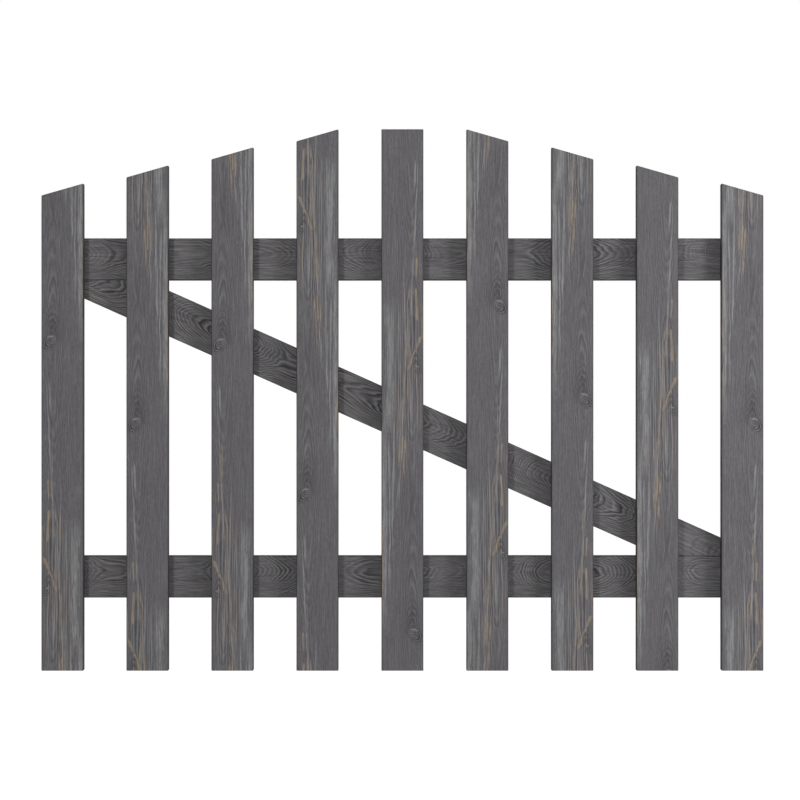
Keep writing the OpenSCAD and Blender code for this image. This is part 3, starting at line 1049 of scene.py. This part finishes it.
screws("top_rail_screw_set", "top_rail_screws", seed=3)
screws("bottom_rail_screw_set", "bottom_rail_screws", seed=7)
screws("brace_screw_set", "brace_screws", seed=11)

# ---------------------------------------------------------------------------------------------
# The strap hinges. Two flat steel bars, 35 by 4 mm, rolled at one end into an eye for the pin and
# drilled for five screws, with rounded far ends. Black powder coat, thin on the edges, where the
# steel has begun to show, and a little rust where it does.
# ---------------------------------------------------------------------------------------------
COAT_BLACK = (0.0125, 0.0125, 0.0135)
COAT_CHALKY = (0.035, 0.035, 0.037)
BARE_STEEL = (0.30, 0.29, 0.28)
RUST = (0.13, 0.052, 0.022)
DUST = (0.16, 0.155, 0.145)
WORN_WITHIN = 0.0012

wear_tree = bpy.data.node_groups.new("worn_edges", "ShaderNodeTree")
given = inputs_of(
    wear_tree,
    Place=(0.0, 0.0, 0.0),
    Patch_scale=260.0,
    Amount=0.5,
)
rounded = result(wear_tree, "ShaderNodeBevel", {"Radius": WORN_WITHIN}, samples=4)
facing = place(wear_tree, "ShaderNodeNewGeometry")
alike = place(
    wear_tree,
    "ShaderNodeVectorMath",
    {0: rounded, 1: Wire(wear_tree, facing.outputs["Normal"])},
    operation="DOT_PRODUCT",
)
edge = (1.0 - Wire(wear_tree, alike.outputs["Value"])).ramp(0.02, 0.16)
patches = noise(
    wear_tree, given["Place"], scale=given["Patch_scale"], detail=4.0, roughness=0.65
)
rubbed = edge * patches.ramp(0.42, 0.62) * given["Amount"]
spotted = patches.ramp(0.66, 0.74) * given["Amount"]
outputs_of(wear_tree, Edge=rubbed, Spots=spotted)


def coated(name, wear, rub=None):
    """Black powder coat over steel. rub, from a wire, is where something slides on it."""
    finish, tree, shader = new_finish(name)
    where = object_place(tree)
    worn = grouped(tree, wear_tree, {"Place": where, "Amount": wear})
    dust = grouped(tree, dust_tree, {"Place": where, "Amount": 0.3})["Mask"]
    peel = noise(tree, where, scale=1400.0, detail=2.0)
    chalk = noise(tree, where, scale=45.0, detail=4.0, roughness=0.6)
    bare = worn["Edge"]
    if rub:
        bare = bare.most(rub(tree, where))
    tone = layered(
        tree,
        COAT_BLACK,
        (chalk.ramp(0.42, 0.7, 0.0, 0.5), COAT_CHALKY),
        (dust * 0.35, DUST),
        (worn["Spots"] * 0.7, RUST),
        (bare, BARE_STEEL),
    )
    dull = 0.40 + chalk * 0.16 + dust * 0.2 - bare * 0.08
    feed(tree, shader, Base_Color=tone, Metallic=bare * 0.9, Roughness=dull)
    relief(tree, shader, peel * 0.35 - bare * 0.4, 0.08)
    return finish


powder_coat = coated("black powder coat", 0.7)


FLAT_WITHIN = math.radians(0.6)
EASED_FROM = math.radians(40.0)


def from_cad(name, node, ease, finish, body="leaf"):
    """A CAD node's shape with its doubles merged, its flats made whole and its edges eased."""
    shape = bmesh.new()
    shape.from_mesh(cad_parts[node].data)
    bmesh.ops.remove_doubles(shape, verts=shape.verts, dist=SAME_SPOT)
    bmesh.ops.dissolve_limit(
        shape,
        angle_limit=FLAT_WITHIN,
        use_dissolve_boundaries=False,
        verts=shape.verts,
        edges=shape.edges,
    )
    mesh = bpy.data.meshes.new(name)
    shape.to_mesh(mesh)
    shape.free()
    piece = bpy.data.objects.new(name, mesh)
    bpy.context.scene.collection.objects.link(piece)
    bevel = piece.modifiers.new("eased edges", "BEVEL")
    bevel.width = ease
    bevel.segments = 2
    bevel.limit_method = "ANGLE"
    bevel.angle_limit = EASED_FROM
    graph = bpy.context.evaluated_depsgraph_get()
    piece.data = bpy.data.meshes.new_from_object(piece.evaluated_get(graph))
    piece.modifiers.clear()
    piece.data.materials.clear()
    piece.data.materials.append(finish)
    crisp(piece)
    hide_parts(node)
    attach(piece, body)


STRAP_EASE = 0.0004
for level in ("upper", "lower"):
    from_cad(f"{level}_hinge_strap", f"{level}_strap", STRAP_EASE, powder_coat)
for level, seed in (("upper", 17), ("lower", 23)):
    screws(f"{level}_strap_screw_set", f"{level}_strap_screws", seed)

# ---------------------------------------------------------------------------------------------
# The post hooks. Each is a 5 mm plate for the post with four holes, a lug welded to it and a pin
# welded through the lug, which the strap's eye turns on. The upper one is turned over. Powder
# coated after welding, so that the ripples of the bead show through.
# ---------------------------------------------------------------------------------------------
RIPPLE_LENGTH = 0.62
weld_tree = bpy.data.node_groups.new("weld_bead", "GeometryNodeTree")
given = inputs_of(
    weld_tree,
    Geometry="Geometry",
    Bead_radius=0.0011,
    Pitch=0.0009,
    Unevenness=0.12,
    Seed=1,
    Steel="Material",
)
path = result(weld_tree, "GeometryNodeMeshToCurve", {"Mesh": given["Geometry"]})
beads = result(
    weld_tree, "GeometryNodeResampleCurve", {"Curve": path, "Length": given["Pitch"]}, mode="LENGTH"
)
puddle = result(
    weld_tree,
    "GeometryNodeMeshUVSphere",
    {"Segments": 12, "Rings": 7, "Radius": given["Bead_radius"]},
)
tangent = result(weld_tree, "GeometryNodeInputTangent")
lean = result(weld_tree, "FunctionNodeAlignRotationToVector", {"Vector": tangent}, axis="Z")
size = place(
    weld_tree,
    "FunctionNodeRandomValue",
    {2: 1.0 - given["Unevenness"], 3: 1.0, "Seed": given["Seed"]},
    data_type="FLOAT",
)
size = Wire(weld_tree, size.outputs[1])
stretch = vector(weld_tree, size, size, size * RIPPLE_LENGTH)
ripples = copies(weld_tree, beads, puddle, Rotation=lean, Scale=stretch)
finished(weld_tree, ripples, given["Steel"])

PLATE_THICKNESS = 0.005
HOOK_EASE = 0.0005
WELD_SEED = 5
for level in ("upper", "lower"):
    from_cad(f"{level}_post_plate", f"{level}_hook_plate", HOOK_EASE, powder_coat, "post_hooks")
    from_cad(f"{level}_hinge_pin", f"{level}_hook_pin", HOOK_EASE, powder_coat, "post_hooks")
    low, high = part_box(f"{level}_hook_plate")
    face = high.x - PLATE_THICKNESS
    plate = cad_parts[f"{level}_hook_plate"].data
    lug = [vert.co for vert in plate.vertices if vert.co.x < face - NEAR]
    y_low, y_high = min(spot.y for spot in lug), max(spot.y for spot in lug)
    z_low, z_high = min(spot.z for spot in lug), max(spot.z for spot in lug)
    corners = [
        (face, y_low, z_low),
        (face, y_high, z_low),
        (face, y_high, z_high),
        (face, y_low, z_high),
    ]
    path = bpy.data.meshes.new("weld path")
    path.from_pydata(corners, [(0, 1), (1, 2), (2, 3), (3, 0)], [])
    piece = grow(
        f"{level}_post_plate_weld", weld_tree, {"Seed": WELD_SEED, "Steel": powder_coat}, path
    )
    piece.data.shade_smooth()
    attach(piece, "post_hooks")

# ---------------------------------------------------------------------------------------------
# The washers. A nylon ring between each strap's eye and its lug, so that steel doesn't grind on
# steel. Moulded in an off-white that has yellowed, with a grey rub of coat on it.
# ---------------------------------------------------------------------------------------------
NYLON = (0.62, 0.60, 0.53)
NYLON_GRUBBY = (0.22, 0.21, 0.19)
nylon, tree, shader = new_finish("nylon")
where = object_place(tree)
grime = noise(tree, where, scale=160.0, detail=4.0, roughness=0.7)
tone = layered(tree, NYLON, (grime.ramp(0.4, 0.75, 0.0, 0.8), NYLON_GRUBBY))
feed(tree, shader, Base_Color=tone, Roughness=grime * 0.3 + 0.3)
relief(tree, shader, grime, 0.03)
WASHER_EASE = 0.0002
for level in ("upper", "lower"):
    washer = f"{level}_hook_washer"
    from_cad(f"{level}_eye_washer", washer, WASHER_EASE, nylon, "post_hooks")

# ---------------------------------------------------------------------------------------------
# The slide bolt. A thin back plate screwed to the top rail's back, two pressed guides riveted to
# it, and a round rod with a ball knob that slides through them into the post. The coat is rubbed
# through on the rod, where it runs in the guides.
# ---------------------------------------------------------------------------------------------
guide_places = [(low.x + high.x) / 2 for low, high in solids("bolt_guides")]


def slide_marks(tree, where):
    """Where the rod has run in its guides, in scratches along it."""
    x, y, z = parts(tree, where)
    scratches = noise(tree, vector(tree, x * 60.0, y * 2500.0, z * 2500.0), detail=3.0)
    near = strongest([abs(x - guide).ramp(0.008, 0.020, 1.0, 0.0) for guide in guide_places])
    return scratches.ramp(0.42, 0.60) * near * 0.85


rubbed_coat = coated("rubbed powder coat", 0.9, slide_marks)
BOLT_EASE = 0.0003
ROD_EASE = 0.0006
from_cad("slide_bolt_plate", "bolt_plate", BOLT_EASE, powder_coat)
from_cad("slide_bolt_guides", "bolt_guides", BOLT_EASE, powder_coat)
from_cad("slide_bolt_rod", "bolt_rod", ROD_EASE, rubbed_coat, "bolt")
from_cad("slide_bolt_knob", "bolt_knob", BOLT_EASE, powder_coat, "bolt")
screws("slide_bolt_screw_set", "bolt_screws", seed=29, sunk=SUNK_IN_STEEL)

# The rivets, with domed heads over the guides' feet and their shanks closed behind the plate.
RIVET_SIDES = 24
RIVET_DOME_STEPS = 5
RIVET_STEPS = RIVET_DOME_STEPS + 2
RIVET_CROWN = 0.04
RIVET_SHANK_RADIUS = 0.0015
GUIDE_FOOT = 0.002
rivet_tree = bpy.data.node_groups.new("rivet", "GeometryNodeTree")
given = inputs_of(
    rivet_tree,
    Geometry="Geometry",
    Head_radius=0.0028,
    Head_height=0.0015,
    Shank_radius=0.0015,
    Length=0.0055,
    Steel="Material",
)
rod, x, y, z, ring = plain_rod(rivet_tree, RIVET_SIDES, RIVET_STEPS)
dome = ring.least(RIVET_DOME_STEPS) * (math.pi / 2 / RIVET_DOME_STEPS)
under = ring.ramp(RIVET_DOME_STEPS, RIVET_DOME_STEPS + 1, smooth=False)
down = ring.ramp(RIVET_DOME_STEPS + 1, RIVET_STEPS, smooth=False)
rim = given["Head_radius"] - given["Shank_radius"]
radius = dome.reckon("SINE").most(RIVET_CROWN) * given["Head_radius"] - rim * under
drop = given["Head_height"] * (1.0 - dome.reckon("COSINE"))
drop = drop + (given["Length"] - given["Head_height"]) * down
formed = moved(rivet_tree, rod, x * radius, drop * -1.0, y * radius * -1.0)
finished(rivet_tree, copies(rivet_tree, given["Geometry"], formed), given["Steel"])

low, high = solids("bolt_rivets")[0]
_, guide_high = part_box("bolt_guides")
_, plate_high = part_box("bolt_plate")
foot = plate_high.y + GUIDE_FOOT
piece = grow(
    "slide_bolt_rivets",
    rivet_tree,
    {
        "Head radius": (high.x - low.x) / 2,
        "Head height": high.y - foot,
        "Shank radius": RIVET_SHANK_RADIUS,
        "Length": high.y - low.y,
        "Steel": zinc,
    },
    screw_seats("bolt_rivets"),
)
crisp(piece, degrees=50.0)
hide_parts("bolt_rivets")
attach(piece, "leaf")

# ---------------------------------------------------------------------------------------------
# The floor, the light and the camera. A plain pale floor just below the pickets, and a white
# surround. One lamp in front on the left, a broad one on the right and soft ones behind.
# ---------------------------------------------------------------------------------------------
FLOOR_DROP = 0.05
FLOOR_REACH = 9.0
low, high = cad_size
middle = (Vector(low) + Vector(high)) / 2
turns = ((-1, -1), (1, -1), (1, 1), (-1, 1))
corners = [
    (middle.x + right * FLOOR_REACH, back * FLOOR_REACH, low[2] - FLOOR_DROP)
    for right, back in turns
]
floor_mesh = bpy.data.meshes.new("floor")
floor_mesh.from_pydata(corners, [], [(0, 1, 2, 3)])
floor = bpy.data.objects.new("floor", floor_mesh)
bpy.context.scene.collection.objects.link(floor)
floor_paint, tree, shader = new_finish("pale floor")
shader.inputs["Base Color"].default_value = (0.8, 0.8, 0.8, 1.0)
shader.inputs["Roughness"].default_value = 0.9
seen = place(tree, "ShaderNodeLightPath")
glow = place(tree, "ShaderNodeEmission", {"Strength": 1.06})
share_seen = Wire(tree, seen.outputs["Is Camera Ray"]) * 0.95
either = place(tree, "ShaderNodeMixShader", {0: share_seen})
tree.links.new(shader.outputs[0], either.inputs[1])
tree.links.new(glow.outputs[0], either.inputs[2])
tree.links.new(either.outputs[0], tree.nodes["Material Output"].inputs["Surface"])
floor_mesh.materials.append(floor_paint)

world = bpy.data.worlds.new("surround")
world.use_nodes = True
tree = world.node_tree
sky = tree.nodes["Background"]
sky.inputs["Color"].default_value = (1.0, 1.0, 1.0, 1.0)
seen = place(tree, "ShaderNodeLightPath")
brightness = Wire(tree, seen.outputs["Is Camera Ray"]) * 0.97 + 0.03
tree.links.new(brightness.socket, sky.inputs["Strength"])
bpy.context.scene.world = world


def lamp(name, turn, lift, distance, size, watts):
    """A square lamp aimed at the gate, turned about it from straight in front and lifted."""
    light = bpy.data.lights.new(name, "AREA")
    light.size = size
    light.energy = watts
    stand = bpy.data.objects.new(name, light)
    level = math.cos(math.radians(lift))
    away = Vector(
        (
            math.sin(math.radians(turn)) * level,
            -math.cos(math.radians(turn)) * level,
            math.sin(math.radians(lift)),
        )
    )
    stand.location = middle + away * distance
    stand.rotation_euler = away.to_track_quat("Z", "Y").to_euler()
    bpy.context.scene.collection.objects.link(stand)


lamp("left lamp", turn=-27, lift=16, distance=5.0, size=0.5, watts=86)
lamp("right lamp", turn=62, lift=10, distance=3.2, size=1.1, watts=69)
lamp("front lamp", turn=5, lift=30, distance=4.0, size=3.0, watts=14)
lamp("back left lamp", turn=-150, lift=35, distance=4.0, size=2.5, watts=120)
lamp("back right lamp", turn=130, lift=25, distance=4.0, size=2.0, watts=80)

CAMERA_ACROSS = -0.608
CAMERA_HEIGHT = 0.295
CAMERA_DISTANCE = 4.6
camera = bpy.data.cameras.new("camera")
camera.sensor_width = 36.0
camera.lens = 124.6
camera.dof.use_dof = False
stand = bpy.data.objects.new("camera", camera)
stand.location = (CAMERA_ACROSS, low[1] - CAMERA_DISTANCE, CAMERA_HEIGHT)
stand.rotation_euler = (math.pi / 2, 0.0, 0.0)
bpy.context.scene.collection.objects.link(stand)
bpy.context.scene.camera = stand
bpy.context.scene.view_settings.view_transform = "Standard"
